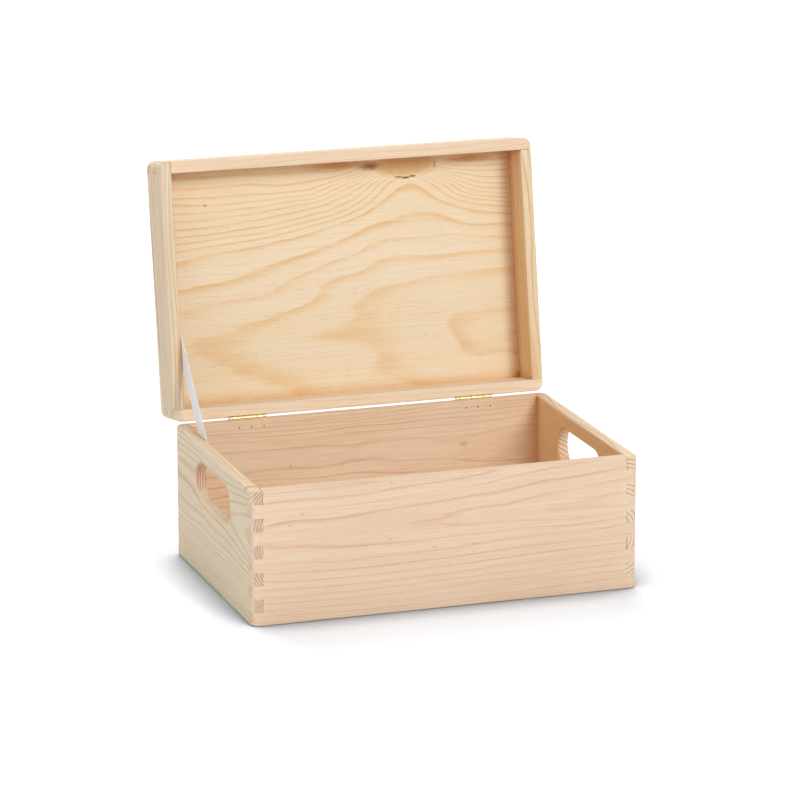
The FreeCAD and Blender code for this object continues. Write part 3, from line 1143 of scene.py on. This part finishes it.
@dataclass
class Hardware:
    """Hinges, pins, nails and tacks, which keep their CAD shapes."""

    brass: MetalFinish = MetalFinish("E3CD98", "BFA264", 0.26, gap_shade="4A3820")
    steel: MetalFinish = MetalFinish("C9C8C4", "A9A8A4", 0.28)
    box_nail: MetalFinish = NailFinish("E3CD98", "BFA264", 0.26)
    lid_nail: MetalFinish = NailFinish("E3CD98", "BFA264", 0.26, turn=-OPEN_ANGLE)

    def dress(self) -> list[str]:
        """Give every metal node its finish.

        Returns:
            Names of the nodes that were dressed.
        """
        endings = {"_leaf": self.brass.material("hinge_brass"),
                   "_pin": self.steel.material("bright_steel"),
                   "box_nails": self.box_nail.material("box_nail_brass"),
                   "lid_nails": self.lid_nail.material("lid_nail_brass")}
        endings["_tack"] = endings["_pin"]
        dressed = []
        for name, node in frame["nodes"].items():
            for ending, finish in endings.items():
                if name.endswith(ending):
                    node.data.materials.clear()
                    node.data.materials.append(finish)
                    dressed.append(name)
        return dressed


@dataclass
class Strap:
    """Flat woven tape that stops the lid, tacked to the left wall and the left rail."""

    lower: Spot = (46.9, 94.0)
    upper: Spot = (121.2, 166.5)
    wall: float = -141.0
    width: float = 15.0
    tail: float = 6.0
    thickness: float = 0.6
    rib_pitch: float = 1.2
    rib_depth: float = 0.06
    rows_per_rib: int = 4
    columns: int = 12
    sharp_angle: float = 50.0
    finish: TapeFinish = TapeFinish()

    def build(self) -> bpy.types.Object:
        """Make the tape.

        Returns:
            The new object, stretched straight between box and lid.
        """
        start, end = Vector((0, *self.lower)), Vector((0, *self.upper))
        line = (end - start).normalized()
        across = Vector((0, -line.z, line.y))
        run = (end - start).length + 2 * self.tail
        rows = int(run / self.rib_pitch * self.rows_per_rib)
        form = bmesh.new()
        places = form.verts.layers.float_vector.new("board")
        sheets = []
        for outside in (False, True):
            sheet = []
            for i in range(rows + 1):
                along = run * i / rows
                rib = self.rib_depth * (0.5 - 0.5 * math.cos(2 * math.pi * along / self.rib_pitch))
                level = self.thickness - rib if outside else rib
                row = []
                for j in range(self.columns + 1):
                    side = (j / self.columns - 0.5) * self.width
                    spot = start + line * (along - self.tail) + across * side
                    vert = form.verts.new(Vector((self.wall + level, spot.y, spot.z)) * MM)
                    vert[places] = Vector((along, side, level))
                    row.append(vert)
                sheet.append(row)
            sheets.append(sheet)
        inner, outer = sheets
        for i in range(rows):
            for j in range(self.columns):
                form.faces.new((inner[i][j], inner[i][j + 1], inner[i + 1][j + 1], inner[i + 1][j]))
                form.faces.new((outer[i][j], outer[i + 1][j], outer[i + 1][j + 1], outer[i][j + 1]))
            for j in (0, self.columns):
                form.faces.new((inner[i][j], inner[i + 1][j], outer[i + 1][j], outer[i][j]))
        for i in (0, rows):
            for j in range(self.columns):
                form.faces.new((inner[i][j], inner[i][j + 1], outer[i][j + 1], outer[i][j]))
        bmesh.ops.recalc_face_normals(form, faces=form.faces[:])
        mesh = bpy.data.meshes.new("woven_strap")
        form.to_mesh(mesh)
        form.free()
        mesh.shade_smooth()
        mesh.set_sharp_from_angle(angle=math.radians(self.sharp_angle))
        mesh.materials.append(self.finish.material("white_tape"))
        piece = put("woven_strap", mesh)
        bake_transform(piece)
        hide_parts("lid_strap")
        return piece


@dataclass(frozen=True)
class Lamp:
    """Broad soft lamp that stands far off: where it stands, how wide it looks and how strong it is."""

    name: str
    place: Point
    spread: float
    strength: float


@dataclass
class Studio:
    """White floor, soft lamps and the camera."""

    camera_place: Point = (-1.0034, -2.9324, 0.9547)
    camera_aim: Point = (-0.040118, -0.108964, 0.163821)
    lens: float = 192.6
    clip_end: float = 100.0
    floor_size: float = 30.0
    floor_drop: float = 0.2
    sky: float = 0.38
    paper: PaperFinish = PaperFinish()
    lamps: tuple[Lamp, ...] = (
        Lamp("key_lamp", (0.65, -2.2, 1.2), 20.0, 1.27),
        Lamp("fill_lamp", (-2.2, -1.0, 1.5), 60.0, 0.57),
        Lamp("rear_lamp", (0.0, 2.5, 2.5), 45.0, 1.6),
    )

    def build(self) -> None:
        """Set up the floor, the light and the camera."""
        bpy.context.scene.view_settings.view_transform = "Standard"
        self.lay_floor()
        self.light_sky()
        for lamp in self.lamps:
            self.hang(lamp)
        self.set_camera()

    def lay_floor(self) -> None:
        """Lay a sheet of paper just below the box."""
        half = self.floor_size / 2
        corners = [(-half, -half, 0), (half, -half, 0), (half, half, 0), (-half, half, 0)]
        mesh = bpy.data.meshes.new("studio_floor")
        mesh.from_pydata(corners, [], [(0, 1, 2, 3)])
        mesh.materials.append(self.paper.material("white_paper"))
        floor = put("studio_floor", mesh)
        floor.location.z = -self.floor_drop * MM

    def light_sky(self) -> None:
        """White all round to the eye, and an even soft light on the box."""
        world = bpy.data.worlds.new("studio")
        bpy.context.scene.world = world
        world.use_nodes = True
        world.node_tree.nodes.clear()
        sketch = NodeSketch(world.node_tree)
        dim, white = (sketch.fill(sketch.node("Background"), Color=WHITE, Strength=strength)
                      for strength in (self.sky, 1.0))
        both = sketch.node("MixShader", sketch.seen_plainly(), dim.outputs[0], white.outputs[0])
        sketch.fill(sketch.node("OutputWorld"), Surface=both.outputs[0])

    def hang(self, lamp: Lamp) -> None:
        """Hang one lamp and aim it at the box.

        Args:
            lamp: The lamp.
        """
        light = bpy.data.lights.new(lamp.name, "SUN")
        light.angle = math.radians(lamp.spread)
        light.energy = lamp.strength
        aim(put(lamp.name, light), lamp.place, ORIGIN)

    def set_camera(self) -> None:
        """Stand the camera where the photograph was taken from."""
        camera = bpy.data.cameras.new("camera")
        camera.lens = self.lens
        camera.clip_end = self.clip_end
        item = put("camera", camera)
        aim(item, self.camera_place, self.camera_aim)
        bpy.context.scene.camera = item


def main() -> None:
    """Build the whole scene, piece by piece."""
    logging.basicConfig(level=logging.INFO, format="%(message)s")
    Effects().build()
    Studio().build()
    for timber in Carcass().timbers() + Lid().timbers():
        piece = timber.build()
        LOG.info("%s: %d faces", piece.name, len(piece.data.polygons))
    for name in Hardware().dress():
        LOG.info("%s: dressed", name)
    LOG.info("%s: woven", Strap().build().name)


if __name__ == "__main__":
    main()
